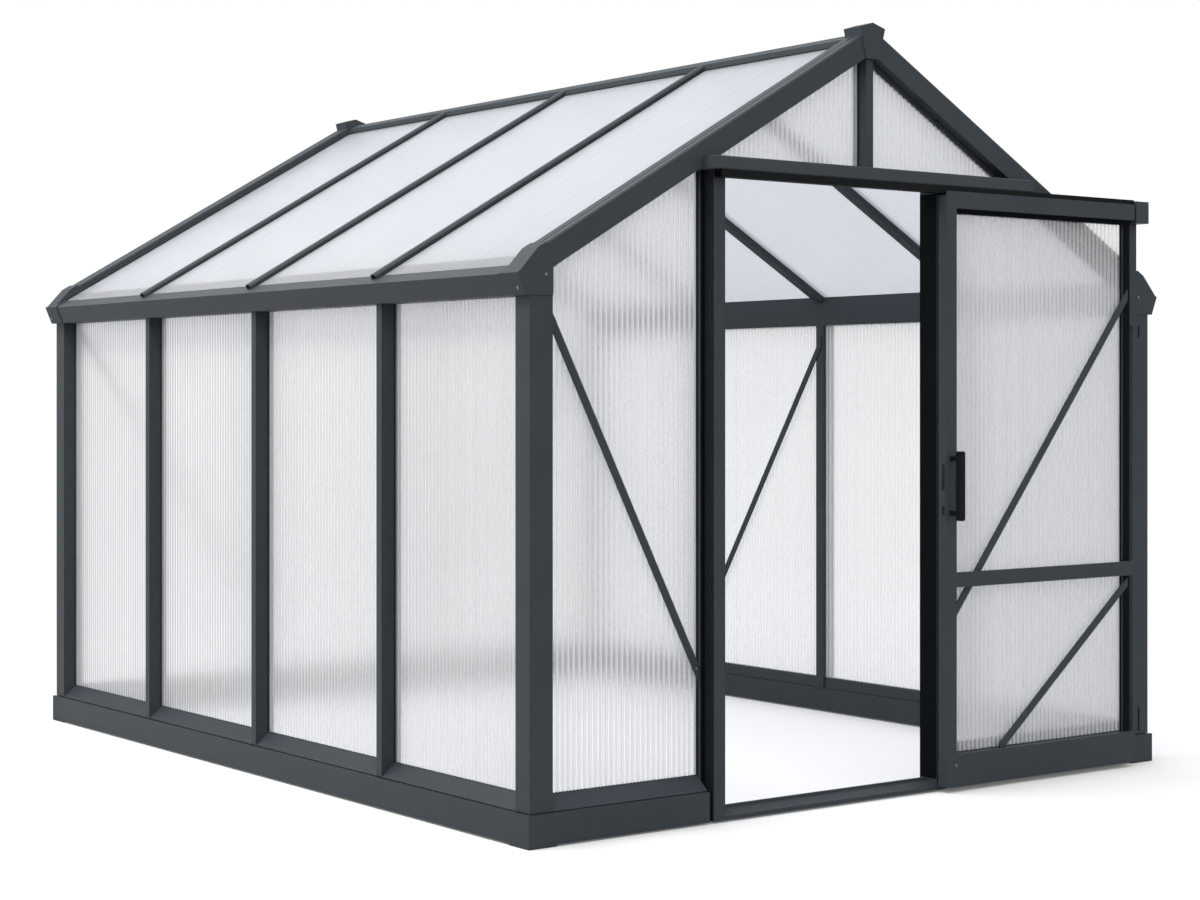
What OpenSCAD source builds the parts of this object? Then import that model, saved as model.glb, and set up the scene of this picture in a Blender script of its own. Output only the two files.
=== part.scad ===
// Walk-in greenhouse: aluminium frame, twin-wall polycarbonate sheets and a sliding door on the front gable.
// Millimetres. +Z is up, the front gable faces -Y, and the ground is Z = 0.

/* [House] */
// Width over the outer faces of the side walls
wall_width = 2440; // [2380:10:3000]
// Length over the outer faces of the gable walls
wall_length = 3000; // [2400:10:3600]
// Number of bays along each side wall
bays = 4; // [3:1:6]
// Height of the underside of the eave beams
eave_height = 1442; // [1300:1:1750]
// Pitch of the roof in degrees
roof_pitch = 30; // [29:0.5:38]
// How far the eave beams stand out beyond the side walls
eave_out = 38; // [25:1:70]

/* [Frame] */
// Width of a corner post along the gable
corner_w = 74; // [66:1:90]
// Width of a corner post along the side wall
corner_d = 65; // [62:1:90]
// Width of a post, stud, king post and roof bar
post_w = 28; // [24:1:36]
// Height of the plinth face of the base rails
plinth_h = 88; // [60:1:120]
// How far the plinth stands out in front of the posts and sills
plinth_out = 10; // [4:1:12]
// Height of the base rails' undersides, which only the corner boots carry, above the ground
rail_lift = 5; // [2:0.5:8]
// Height of the shadow groove between plinth and sill
seam_h = 3; // [2:1:12]
// Rise of the sloping sill over the base rails
sill_rise = 38; // [20:1:60]
// Depth of the base rails, eave beams and header
rail_d = 60; // [56:1:80]
// Side of a corner boot
boot_side = 90; // [86:1:110]
// Height of a gable rafter square to the roof
rafter_h = 66; // [55:1:90]
// Width of a gable rafter along the house
rafter_w = 70; // [62:1:90]
// Height of the gable rafters above the roof sheets
bar_out = 25; // [10:1:35]
// Height of the roof bars, and of the ridge beam's sides, above the roof sheets
bar_rise = 16; // [12:1:30]

/* [Sheets] */
// Thickness of the polycarbonate sheets
sheet_t = 6; // [4:0.1:8]
// Depth of the wall sheets behind the outer face of their wall
sheet_set = 45; // [36:1:46]
// Depth to which a sheet sits in a groove
groove = 8; // [5:0.5:9]
// Play of a sheet in its groove
play = 0.3; // [0.2:0.05:0.5]

/* [Doorway] */
// Clear width between the door jambs
door_w = 820; // [650:5:880]
// Width of a door jamb
jamb_w = 40; // [30:1:60]
// How far the jambs stand out in front of the wall
jamb_out = 10; // [4:1:12]
// Width of the recess between a jamb's front bar and the wall beside it
recess_w = 15; // [8:1:25]
// Height of the underside of the header above the underside of the eave beams
head_rise = 361; // [300:1:380]
// Height of the header
head_h = 37; // [30:1:50]
// How far the header stands out in front of the wall
head_out = 46; // [42:1:60]

/* [Door leaf] */
// Thickness of the leaf
leaf_t = 36; // [33:1:50]
// Overlap of the closed leaf on each jamb
leaf_lap = 10; // [8:1:30]
// Distance of the open leaf's right edge from the right side wall's outer face
park_set = 125; // [100:1:200]
// Running clearance between the leaf and the house
run_gap = 6; // [5:0.5:10]
// Width of the leaf's left stile
stile_w = 40; // [30:1:60]
// Width of the leaf's right stile
back_stile_w = 34; // [24:1:50]
// Height of the leaf's top rail
top_rail_h = 50; // [40:1:80]
// Height of the leaf's middle rail
mid_rail_h = 44; // [30:1:70]
// Height of the leaf's bottom rail
bottom_rail_h = 96; // [60:1:140]
// Height of the middle of the leaf's middle rail
mid_rail_z = 631; // [500:1:900]
// Height of the middle of the pull handle
handle_z = 912; // [800:1:1050]
// Length of the pull handle
handle_l = 206; // [140:1:300]
// How far the pull handle stands out from the leaf
handle_out = 45; // [35:1:60]

/* [Hidden] */

frame_colour = [0.24, 0.25, 0.26];
sheet_colour = [0.86, 0.89, 0.92];
black_colour = [0.06, 0.06, 0.06];

// The origin is the middle of the whole footprint: the pull handle reaches out most at the front, and
// the plinth at the back.
proud = 3;
front_out = max(jamb_out, plinth_out);
handle_reach = front_out + run_gap + leaf_t + handle_out;
y_front = (handle_reach - plinth_out - wall_length) / 2;
y_back = y_front + wall_length;
half_w = wall_width / 2;
bay = wall_length / bays;

web_w = post_w - groove;
flange_over = 6;
flange_w = post_w + 2 * flange_over;
flange_t = 12;
lap = 1;
set_in = sheet_set + sheet_t;
slot0 = sheet_set - play;
slot1 = set_in + play;
seam_d = 6;
sill_z0 = plinth_h + seam_h;
sill_z1 = sill_z0 + sill_rise;
sill_in = 3;
foot_z = sill_z0 - sill_in;
sheet_z0 = foot_z - groove;
head_z = eave_height + head_rise;

// ---- Roof lines ----

eave_face = 61;
eave_lean = 23;
eave_top = 50;
tip_z = eave_height + eave_face * cos(eave_lean);
ridge_s = (half_w + eave_out) / cos(roof_pitch);
apex_z = tip_z + ridge_s * sin(roof_pitch);
under_n = bar_out - rafter_h;
sheet_n = under_n + groove - play;
roof_n0 = -sheet_t - play;
flange_h = 20;
flange_n = -sheet_t - flange_h;
lip_h = 10;
lip_n = under_n - lip_h;

// A point of the left slope as [distance from the left wall, height]: s runs up the slope from the tip of
// the eave beam, and n square to it from the tops of the roof sheets.
function slope(s, n) = [
    s * cos(roof_pitch) - n * sin(roof_pitch) - eave_out, tip_z + s * sin(roof_pitch) + n * cos(roof_pitch)
];
// How far up the slope the line n crosses a distance from the wall
function s_at(u, n) = (u + eave_out + n * sin(roof_pitch)) / cos(roof_pitch);
// Height of the line n at a distance from the wall, and the distance at which it has a given height
function z_at(u, n) = tip_z + (u + eave_out) * tan(roof_pitch) + n / cos(roof_pitch);
function u_at(z, n) = (z - tip_z - n / cos(roof_pitch)) / tan(roof_pitch) - eave_out;
arm_over = 14;
arm_s = s_at(corner_w, under_n) + arm_over;

// ---- Placing ----

// An outline in Y and n, carried up the left slope from s0 to s1
module up_slope(s0, s1) translate([-eave_out, 0, tip_z]) rotate([0, -roof_pitch, 0]) translate([s0, 0, 0])
    rotate([90, 0, 90]) linear_extrude(s1 - s0) children();

// A box between two corners
module box(low, high) translate(low) cube(high - low);
// An outline in X and height, extruded along Y
module along_y(y0, y1) translate([0, y1, 0]) rotate([90, 0, 0]) linear_extrude(y1 - y0) children();
// An outline in Y and height, extruded along X
module along_x(x0, x1) translate([x0, 0, 0]) rotate([90, 0, 90]) linear_extrude(x1 - x0) children();
// Moves the left wall's outer face from X = 0 to its place
module from_left() translate([-half_w, 0, 0]) children();
// The children and their mirror image across the house
module both_sides() {
    children();
    mirror([1, 0, 0]) children();
}
// Moves the front wall's outer face from Y = 0 to its place, or turns it into the back wall
module at_front() translate([0, y_front, 0]) children();
module at_back() translate([0, y_back, 0]) mirror([0, 1, 0]) children();

// ---- Base ----

// Section of a base rail: plinth face, shadow groove, sloping sill, sheet slot and inner lip
module rail_section() polygon([
    [-plinth_out, rail_lift], [-plinth_out, plinth_h], [seam_d, plinth_h], [seam_d, sill_z0], [0, sill_z0],
    [slot0, sill_z1], [slot0, sheet_z0], [slot1, sheet_z0], [slot1, foot_z], [rail_d, foot_z],
    [rail_d, rail_lift]
]);
boot_in = boot_side - plinth_out;
module boot_block() box([-plinth_out, -plinth_out, 0], [boot_in, boot_in, plinth_h]);
module side_rail() color(frame_colour) from_left() difference() {
    along_y(y_front + corner_d, y_back - corner_d) rail_section();
    at_front() boot_block();
    at_back() boot_block();
}
module base_rail_left() side_rail();
module base_rail_right() mirror([1, 0, 0]) side_rail();

// A rail of a gable, without the corner boots that it meets
module gable_rail(x0, x1) color(frame_colour) difference() {
    along_x(x0, x1) rail_section();
    both_sides() from_left() boot_block();
}
module base_rail_back() at_back() gable_rail(corner_w - half_w, half_w - corner_w);
module base_rail_front_left() at_front() gable_rail(corner_w - half_w, door_x0 - body_w);
module base_rail_front_right() at_front() gable_rail(door_x1 + body_w, half_w - corner_w);

tread_z0 = 17;
tread_z1 = 31;
tread_d = 34;
stop_h = 7;
stop_t = 8;
// Section of the threshold: a ramped tread that rises to a stop
module threshold_section() polygon([
    [-jamb_out, rail_lift], [-jamb_out, tread_z0], [tread_d, tread_z1], [tread_d, tread_z1 + stop_h],
    [tread_d + stop_t, tread_z1 + stop_h], [tread_d + stop_t, rail_lift]
]);
module threshold() color(frame_colour) at_front()
    along_x(door_x0 - jamb_w, door_x1 + jamb_w) threshold_section();

// Slots for the two sheets that meet at a corner post, from the height z0 to z1
module corner_slots(z0, z1) {
    box([corner_w - groove, slot0, z0], [boot_side, slot1, z1]);
    box([slot0, corner_d - groove, z0], [slot1, boot_side, z1]);
}
// A corner boot: a block as high as the plinth, and a neck that keeps the shadow groove open under the post
module boot() from_left() difference() {
    union() {
        boot_block();
        box([seam_d, seam_d, plinth_h - lap], [corner_w, corner_d, sill_z0]);
    }
    corner_slots(sheet_z0, sill_z0 + 1);
}
module corner_boots() color(frame_colour) both_sides() {
    at_front() boot();
    at_back() boot();
}

// ---- Walls ----

// A corner post, with slots for the two sheets that meet there
module corner_post() from_left() difference() {
    box([0, 0, sill_z0], [corner_w, corner_d, eave_height]);
    corner_slots(sill_z0 - 1, eave_height + 1);
}
hook_x = 40;
hook_w = 8;
hook_d = 6;
hook_low = [sill_z0 + 9, 76];
hook_high = [eave_height - 75, 36];
// The front right post has two upright slots, each with its foot and its height, for the track's fixings.
module hooked_post() difference() {
    corner_post();
    from_left() for (slot = [hook_low, hook_high])
        box([hook_x, -1, slot[0]], [hook_x + hook_w, hook_d, slot[0] + slot[1]]);
}
module corner_posts() color(frame_colour) {
    both_sides() at_back() corner_post();
    at_front() corner_post();
    at_front() mirror([1, 0, 0]) hooked_post();
}

// Plan of a glazing post: outer bar, a web between the sheets and an inner flange behind them.
// X runs along the wall and Y inward; the bar starts at the depth d0.
module post_plan(d0) {
    translate([-post_w / 2, d0]) square([post_w, slot0 - d0]);
    translate([-web_w / 2, slot0 - lap]) square([web_w, slot1 - slot0 + 2 * lap]);
    translate([-flange_w / 2, slot1]) square([flange_w, flange_t]);
}
// A glazing post of a wall whose outer face is Y = 0, with its foot cut to the sill
module wall_post(top) difference() {
    translate([0, 0, foot_z]) linear_extrude(top - foot_z) post_plan(0);
    along_x(-post_w, post_w) polygon([
        [-1, sill_z0 - 1], [-1, foot_z - 1], [slot0, foot_z - 1], [slot0, sill_z1], [0, sill_z0]
    ]);
}
module side_posts() color(frame_colour) from_left() for (i = [1 : bays - 1])
    translate([0, y_front + i * bay, 0]) rotate([0, 0, -90]) wall_post(eave_height);
module side_posts_left() side_posts();
module side_posts_right() mirror([1, 0, 0]) side_posts();

stud_x = wall_width / 6;
module back_studs() color(frame_colour) both_sides() at_back() translate([stud_x, 0, 0]) wall_post(head_z);

leaf_w = door_w + 2 * leaf_lap;
leaf_x1 = half_w - park_set;
leaf_x0 = leaf_x1 - leaf_w;
park_gap = 2;
door_x1 = leaf_x0 - park_gap;
door_x0 = door_x1 - door_w;
body_w = jamb_w + recess_w;
body_y = 30;
// Left jamb: a front bar beside the doorway, and a wider body behind it that holds the wall's sheet. X is
// measured from the doorway's edge.
module door_jamb() difference() {
    union() {
        box([-jamb_w, -jamb_out, rail_lift], [0, rail_d, head_z]);
        box([-body_w, body_y, rail_lift], [0, rail_d, head_z]);
    }
    box([-body_w - 1, slot0, sheet_z0], [groove - body_w, slot1, head_z + 1]);
    along_x(-jamb_w, 1) threshold_section();
}
module door_jambs() color(frame_colour) at_front() {
    translate([door_x0, 0, 0]) door_jamb();
    translate([door_x1, 0, 0]) mirror([1, 0, 0]) door_jamb();
}

// ---- Eaves, rafters and ridge ----

// Foot and top of the leaning face of the eave beam, or of a face parallel to it and further out
function eave_foot(out) = [eave_face * sin(eave_lean) - out / cos(eave_lean) - eave_out, eave_height];
function eave_tip(out) = slope(-out * (1 - sin(roof_pitch - eave_lean)) / cos(roof_pitch - eave_lean), out);
// Section of the eave beam: flat underside, leaning face, a ledge for the roof sheets and a slot for the
// wall sheets
module eave_section(out) difference() {
    polygon([
        eave_foot(out), eave_tip(out), slope(eave_top, out),
        slope(eave_top, roof_n0), slope(s_at(rail_d, roof_n0), roof_n0), [rail_d, eave_height]
    ]);
    translate([slot0, eave_height - 1]) square([slot1 - slot0, groove + 1]);
}
module eave_beam() color(frame_colour) from_left()
    along_y(y_front + boot_side - proud, y_back - boot_side + proud) eave_section(0);
module eave_beam_left() eave_beam();
module eave_beam_right() mirror([1, 0, 0]) eave_beam();

// A strip of the left slope between two lines n
module strip(s0, s1, n0, n1) polygon([slope(s0, n0), slope(s0, n1), slope(s1, n1), slope(s1, n0)]);
// Groove of the gable sheets in the underside of a rafter or bracket, in Y and n
module gable_groove() translate([slot0, under_n - 1]) square([slot1 - slot0, sheet_n + play - under_n + 1]);
// Groove of the roof sheets in the inner flank of a rafter, bracket or ridge cap, in Y and n
module roof_groove() translate([rafter_w - groove, roof_n0]) square([boot_side, play - roof_n0]);
// Glazing lip under a rafter or bracket, in front of the gable sheets, in Y and n
module glazing_lip() translate([slot0 - lip_h, lip_n]) square([lip_h, lip_h + lap]);
step_s0 = 8;
step_l = 32;
// Moulded bracket over the corner post, the end of the eave beam and the foot of the gable rafter
module eave_bracket() from_left() difference() {
    union() {
        along_y(-proud, rafter_w) polygon([
            eave_foot(proud), eave_tip(proud), slope(step_s0, proud),
            slope(arm_s - step_l, bar_out + proud), slope(arm_s, bar_out + proud), slope(arm_s, under_n),
            slope(s_at(corner_w, under_n), under_n), [corner_w, eave_height]
        ]);
        along_y(rafter_w, boot_side - proud) eave_section(proud);
        up_slope(s_at(corner_w, lip_n), arm_s) glazing_lip();
    }
    box([corner_w - groove, slot0, eave_height - 1], [corner_w + 1, slot1, z_at(corner_w, sheet_n + play)]);
    box([slot0, corner_d - groove, eave_height - 1], [slot1, boot_side, eave_height + groove]);
    up_slope(s_at(corner_w - groove, sheet_n), arm_s + 1) gable_groove();
    up_slope(eave_top, arm_s + 1) roof_groove();
}
module eave_brackets() color(frame_colour) both_sides() {
    at_front() eave_bracket();
    at_back() eave_bracket();
}

cap_foot = 26;
cap_neck = 44;
cap_w = 49;
cap_neck_z = apex_z + 10;
cap_side_z = apex_z + 28;
cap_peak_z = apex_z + 43;
cap_low = z_at(half_w - cap_foot, under_n);
// Outline of a ridge cap in X and height
module cap_outline() polygon([
    [-cap_foot, cap_low], [-cap_neck, cap_neck_z], [-cap_w, cap_side_z], [0, cap_peak_z],
    [cap_w, cap_side_z], [cap_neck, cap_neck_z], [cap_foot, cap_low]
]);
module ridge_cap() difference() {
    along_y(-proud, rafter_w) cap_outline();
    both_sides() from_left() up_slope(arm_s, ridge_s + 1) roof_groove();
}
module ridge_caps() color(frame_colour) {
    at_front() ridge_cap();
    at_back() ridge_cap();
}
edge = 4;
line_y = 30;
line_w = 4;
line_d = 3;
// Section of a gable rafter in Y and n: bevelled outer edges, a fine line along the top, and the grooves
// of the gable sheets and the roof sheets
module rafter_section() difference() {
    polygon([
        [0, under_n], [0, bar_out - edge], [edge, bar_out], [rafter_w - edge, bar_out],
        [rafter_w, bar_out - edge], [rafter_w, under_n]
    ]);
    translate([line_y, bar_out - line_d]) square([line_w, line_d + 1]);
    gable_groove();
    roof_groove();
}
module gable_rafter() difference() {
    from_left() {
        up_slope(arm_s + play, s_at(half_w - cap_foot + edge, bar_out)) rafter_section();
        up_slope(arm_s + play, s_at(half_w - cap_foot, under_n)) glazing_lip();
    }
    along_y(-1, rafter_w + 1) cap_outline();
}
module gable_rafters() color(frame_colour) both_sides() gable_rafter();
module gable_rafters_front() at_front() gable_rafters();
module gable_rafters_back() at_back() gable_rafters();

ridge_half = 28;
ridge_drop = 6;
ridge_u = half_w - ridge_half;
ridge_low = z_at(ridge_u, flange_n) - ridge_drop;
// Ridge beam: a low flank on each side, grooved for the roof sheets, under a top that slopes like the roof
module ridge_beam() color(frame_colour) difference() {
    along_y(y_front + rafter_w, y_back - rafter_w) polygon([
        [-ridge_half, ridge_low], [-ridge_half, z_at(ridge_u, bar_rise)], [0, z_at(half_w, bar_rise)],
        [ridge_half, z_at(ridge_u, bar_rise)], [ridge_half, ridge_low]
    ]);
    ridge_edge = s_at(ridge_u, 0);
    both_sides() from_left()
        along_y(y_front, y_back) strip(ridge_edge - groove, ridge_edge + groove, roof_n0, play);
}

bar_bevel = 6;
bar_wall = 2.5;
bar_foot = -15;
bar_hollow = 40;
// Bevelled section of a roof bar's outer part, in Y and n, shrunk by t all round
module bar_section(t) {
    w = post_w / 2 - t;
    polygon([
        [-w, play + t], [-w, bar_rise - bar_bevel - t / 2], [bar_bevel + t / 2 - w - t, bar_rise - t],
        [w - bar_bevel + t / 2, bar_rise - t], [w, bar_rise - bar_bevel - t / 2], [w, play + t]
    ]);
}
// Glazing bar on the left slope: outer bar over the sheets' edges and the eave, web, and inner flange
module roof_bar() {
    s0 = s_at(bar_foot, 0);
    s1 = s_at(ridge_u, bar_rise);
    flange_s = s_at(rail_d + play, roof_n0);
    difference() {
        union() {
            up_slope(s0, s1) bar_section(0);
            up_slope(eave_top + play, s1)
                translate([-web_w / 2, -sheet_t]) square([web_w, sheet_t + play + lap]);
            up_slope(flange_s, s1) translate([-web_w / 2, roof_n0 - lap]) square([web_w, sheet_t + lap]);
            up_slope(flange_s, s1)
                translate([-flange_w / 2, flange_n]) square([flange_w, roof_n0 - flange_n]);
        }
        up_slope(s0 - 1, s0 + bar_hollow) bar_section(bar_wall);
        box([ridge_u, -flange_w, 0], [half_w, flange_w, 2 * apex_z]);
    }
}
module roof_bars() color(frame_colour) from_left()
    for (i = [1 : bays - 1]) translate([0, y_front + i * bay, 0]) roof_bar();
module roof_bars_left() roof_bars();
module roof_bars_right() mirror([1, 0, 0]) roof_bars();

king_set = 11;
module king_post() translate([0, 0, head_z + head_h])
    linear_extrude(cap_low - play - head_z - head_h) post_plan(king_set);
module king_posts() color(frame_colour) {
    at_front() king_post();
    at_back() king_post();
}

// Cross rail that fits between the rafters of a gable, with a slot for the sheets above and below it
module cross_rail() difference() {
    u0 = u_at(head_z, under_n);
    u1 = u_at(head_z + head_h, under_n);
    along_y(0, rail_d) polygon([
        [u0 - half_w, head_z], [u1 - half_w, head_z + head_h],
        [half_w - u1, head_z + head_h], [half_w - u0, head_z]
    ]);
    for (z = [head_z, head_z + head_h])
        box([-half_w, slot0, z - groove], [half_w, slot1, z + groove]);
    lip_room = slot1 - slot0 + lip_h + play;
    both_sides() from_left() up_slope(arm_s, ridge_s)
        translate([slot1 - lip_room, lip_n - play]) square([lip_room, lip_h + play + lap]);
}
module back_rail() color(frame_colour) at_back() cross_rail();
head_lean = 4;
head_edge = 3;
head_end = 50;
// Header: the cross rail, with a hood in front of it whose face leans back a little
module door_header() color(frame_colour) at_front() {
    cross_rail();
    reach = half_w - u_at(head_z + head_h, under_n) + head_end;
    along_x(-reach, reach) polygon([
        [0, head_z], [head_edge - head_out, head_z], [-head_out, head_z + head_edge],
        [head_lean - head_out, head_z + head_h - head_edge],
        [head_lean + head_edge - head_out, head_z + head_h], [0, head_z + head_h]
    ]);
}

// ---- Sheets ----

module side_sheets() color(sheet_colour) from_left() for (i = [0 : bays - 1]) {
    y0 = i == 0 ? corner_d - groove + play : i * bay + web_w / 2 + play;
    y1 = i == bays - 1 ? wall_length - corner_d + groove - play : (i + 1) * bay - web_w / 2 - play;
    box([sheet_set, y_front + y0, sheet_z0], [set_in, y_front + y1, eave_height + groove - play]);
}
module side_sheets_left() side_sheets();
module side_sheets_right() mirror([1, 0, 0]) side_sheets();

module roof_sheets() color(sheet_colour) from_left() for (i = [0 : bays - 1]) {
    y0 = i == 0 ? rafter_w - groove + play : i * bay + web_w / 2 + play;
    y1 = i == bays - 1 ? wall_length - rafter_w + groove - play : (i + 1) * bay - web_w / 2 - play;
    s1 = s_at(ridge_u, 0) + groove - play;
    along_y(y_front + y0, y_front + y1) polygon([
        slope(eave_top + play, -sheet_t), slope(eave_top + play, 0), slope(s1, 0), slope(s1, -sheet_t)
    ]);
}
module roof_sheets_left() roof_sheets();
module roof_sheets_right() mirror([1, 0, 0]) roof_sheets();

// Panel of a gable from the left corner post to the distance u1, under the rafter and the cross rail
module gable_panel(u1) {
    u0 = corner_w - groove + play;
    z1 = head_z + groove - play;
    uz = u_at(z1, sheet_n);
    from_left() along_y(sheet_set, set_in) polygon(
        uz < u1 ? [[u0, sheet_z0], [u1, sheet_z0], [u1, z1], [uz, z1], [u0, z_at(u0, sheet_n)]]
                : [[u0, sheet_z0], [u1, sheet_z0], [u1, z_at(u1, sheet_n)], [u0, z_at(u0, sheet_n)]]
    );
}
module front_sheet_left() color(sheet_colour) at_front()
    gable_panel(half_w + door_x0 - body_w + groove - play);
module front_sheet_right() color(sheet_colour) at_front() mirror([1, 0, 0])
    gable_panel(half_w - door_x1 - body_w + groove - play);
module back_sheets() color(sheet_colour) at_back() {
    both_sides() gable_panel(half_w - stud_x - web_w / 2 - play);
    box([web_w / 2 + play - stud_x, sheet_set, sheet_z0],
        [stud_x - web_w / 2 - play, set_in, head_z + groove - play]);
}
// Half of a gable's top, between the king post, the cross rail and a rafter
module gable_top() {
    z0 = head_z + head_h - groove + play;
    z1 = cap_low - play;
    u1 = half_w - web_w / 2 - play;
    from_left() along_y(sheet_set, set_in) polygon([
        [u_at(z0, sheet_n), z0], [u1, z0], [u1, z1], [u_at(z1, sheet_n), z1]
    ]);
}
module gable_sheets() color(sheet_colour) {
    at_front() both_sides() gable_top();
    at_back() both_sides() gable_top();
}

// ---- Braces ----

brace_w = 22;
brace_t = 5;
brace_top = 22;
brace_foot = 404;
brace_set = 12;
brace_drop = 60;
// A flat bar between two points, with upright ends
module brace_outline(a, b, w) {
    rise = w / 2 / cos(atan2(b[1] - a[1], b[0] - a[0]));
    polygon([[a[0], a[1] - rise], [b[0], b[1] - rise], [b[0], b[1] + rise], [a[0], a[1] + rise]]);
}
module gable_brace(u1) from_left() along_y(sheet_set - brace_set, sheet_set - brace_set + brace_t)
    brace_outline([corner_w, eave_height - brace_top], [u1, brace_foot], brace_w);
module wall_braces() color(frame_colour) {
    at_front() gable_brace(half_w + door_x0 - body_w);
    at_back() both_sides() gable_brace(half_w - stud_x - post_w / 2);
    post_y = y_back - 2 * bay;
    mirror([1, 0, 0]) from_left() along_x(slot1 + flange_t, slot1 + flange_t + brace_t) brace_outline(
        [post_y - brace_set, eave_height - brace_drop],
        [post_y + bay + brace_set, foot_z + brace_drop], brace_w
    );
}

// ---- Track ----

track_w = 29;
track_h = 22;
track_t = 2.5;
track_gap = 4;
track_y0 = -front_out - track_gap - track_w;
track_y = track_y0 + track_w / 2;
track_z = head_z - track_h;
slot_w = 12;
end_gap = 8;
end_x = leaf_x1 + end_gap;
end_h = 69;
end_w = 60;
end_drop = 4;
end_z1 = head_z - end_drop;
end_z0 = end_z1 - end_h;
// Downward-open channel in which the rollers run
module door_track() color(black_colour) at_front() along_x(door_x0 - jamb_w, end_x) difference() {
    translate([track_y0, track_z]) square([track_w, track_h]);
    translate([track_y0 + track_t, track_z + track_t]) square([track_w - 2 * track_t, track_h - 2 * track_t]);
    translate([track_y - slot_w / 2, track_z - 1]) square([slot_w, track_t + 2]);
}
upright_w = 44;
upright_t = 12;
upright_drop = 37;
module track_upright() color(frame_colour) at_front()
    box([end_x, -proud - upright_t, eave_height - upright_drop], [end_x + upright_w, -proud, end_z0]);
module track_cap() color(frame_colour) at_front()
    box([end_x, leaf_y0, end_z0], [end_x + end_w, 0, end_z1]);

// ---- Leaf ----

leaf_y1 = -front_out - run_gap;
leaf_y0 = leaf_y1 - leaf_t;
leaf_z0 = 16;
leaf_drop = 5;
leaf_z1 = track_z - leaf_drop;
fascia_t = 4;
fascia_h = 12;
fascia_z = leaf_z1 + fascia_h;
rail_t = 14;
rail_y = leaf_y0 + rail_t;
leaf_brace_t = 6;
brace_y = rail_y + leaf_brace_t;
bead_h = 15;
glass_z0 = leaf_z0 + bottom_rail_h;
glass_z1 = fascia_z - top_rail_h - bead_h;
shoe_h = 84;
shoe_out = 1.5;
module leaf_stile_left() color(frame_colour) at_front() {
    box([leaf_x0, leaf_y0, leaf_z0 + shoe_h], [leaf_x0 + stile_w, leaf_y1, leaf_z1]);
    box([leaf_x0, leaf_y0, leaf_z1], [leaf_x0 + stile_w, leaf_y0 + fascia_t, fascia_z]);
}
module leaf_stile_right() color(frame_colour) at_front()
    box([leaf_x1 - back_stile_w, brace_y, glass_z0], [leaf_x1, leaf_y1, glass_z1]);
module leaf_top_rail() color(frame_colour) at_front() {
    box([leaf_x0 + stile_w, leaf_y0, glass_z1 + bead_h], [leaf_x1, leaf_y1, leaf_z1]);
    box([leaf_x0 + stile_w, leaf_y0, leaf_z1], [leaf_x1, leaf_y0 + fascia_t, fascia_z]);
    box([leaf_x0 + stile_w, brace_y, glass_z1], [leaf_x1, leaf_y1, glass_z1 + bead_h]);
}
module leaf_mid_rail() color(frame_colour) at_front() {
    z0 = mid_rail_z - mid_rail_h / 2;
    box([leaf_x0 + stile_w, leaf_y0, z0], [leaf_x1, rail_y, z0 + mid_rail_h]);
    box([leaf_x1 - back_stile_w, rail_y, z0], [leaf_x1, brace_y, z0 + mid_rail_h]);
}
// The bottom rail, with the moulded shoe under the left stile
module leaf_bottom_rail() color(frame_colour) at_front() {
    box([leaf_x0 + stile_w, leaf_y0, leaf_z0], [leaf_x1, leaf_y1, glass_z0]);
    box([leaf_x0 - shoe_out, leaf_y0 - shoe_out, leaf_z0], [leaf_x0 + stile_w, leaf_y1, leaf_z0 + shoe_h]);
}
module leaf_sheet() color(sheet_colour) at_front()
    box([leaf_x0 + stile_w + play, leaf_y1 - sheet_t, glass_z0 + play],
        [leaf_x1 - back_stile_w - play, leaf_y1, glass_z1 - play]);
// A flat bar behind the middle rail, cut off level with the top of the bottom rail
module leaf_brace(a, b) difference() {
    along_y(rail_y, brace_y) brace_outline(a, b, brace_w);
    box([leaf_x0, leaf_y0, 0], [leaf_x1, leaf_y1, glass_z0]);
}
brace_low = 523;
brace_high = 1500;
brace_in = 240;
module leaf_braces() color(frame_colour) at_front() {
    right_x = leaf_x1 - back_stile_w / 2;
    leaf_brace([leaf_x0 + stile_w, brace_low], [right_x, brace_high]);
    leaf_brace([leaf_x0 + brace_in, glass_z0 - lap], [right_x, mid_rail_z - mid_rail_h / 2 - brace_w]);
}

handle_t = 20;
handle_edge = 5;
post_t = 14;
post_set = 22;
// Pull handle: a flat bar with bevelled ends, on two stand-offs
module leaf_handle() color(black_colour) at_front() {
    x = leaf_x0 + stile_w / 2;
    y0 = leaf_y0 - handle_out;
    z0 = handle_z - handle_l / 2;
    z1 = handle_z + handle_l / 2;
    w = handle_t / 2;
    e = handle_edge;
    along_y(y0, y0 + handle_t) polygon([
        [x - w, z0 + e], [x + e - w, z0], [x + w - e, z0], [x + w, z0 + e],
        [x + w, z1 - e], [x + w - e, z1], [x + e - w, z1], [x - w, z1 - e]
    ]);
    for (z = [z0 + post_set, z1 - post_set])
        box([x - post_t / 2, y0 + handle_t, z - post_t / 2], [x + post_t / 2, leaf_y0, z + post_t / 2]);
}

roller_r = 7;
roller_w = 22;
roller_x = 12;
plate_w = 44;
plate_t = 3;
plate_top = 5;
hanger_in = 120;
// Hanger plate through the slot of the track, with two pairs of rollers on its lips
module roller_hanger(x) {
    z = track_z + track_t + play + roller_r;
    box([x - plate_w / 2, track_y - plate_t / 2, leaf_z1],
        [x + plate_w / 2, track_y + plate_t / 2, z + plate_top]);
    for (dx = [-roller_x, roller_x]) translate([x + dx, track_y + roller_w / 2, z]) rotate([90, 0, 0])
        cylinder(r = roller_r, h = roller_w, $fn = 32);
}
module leaf_rollers() color(black_colour) at_front() {
    roller_hanger(leaf_x0 + hanger_in);
    roller_hanger(leaf_x1 - hanger_in);
}

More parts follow.
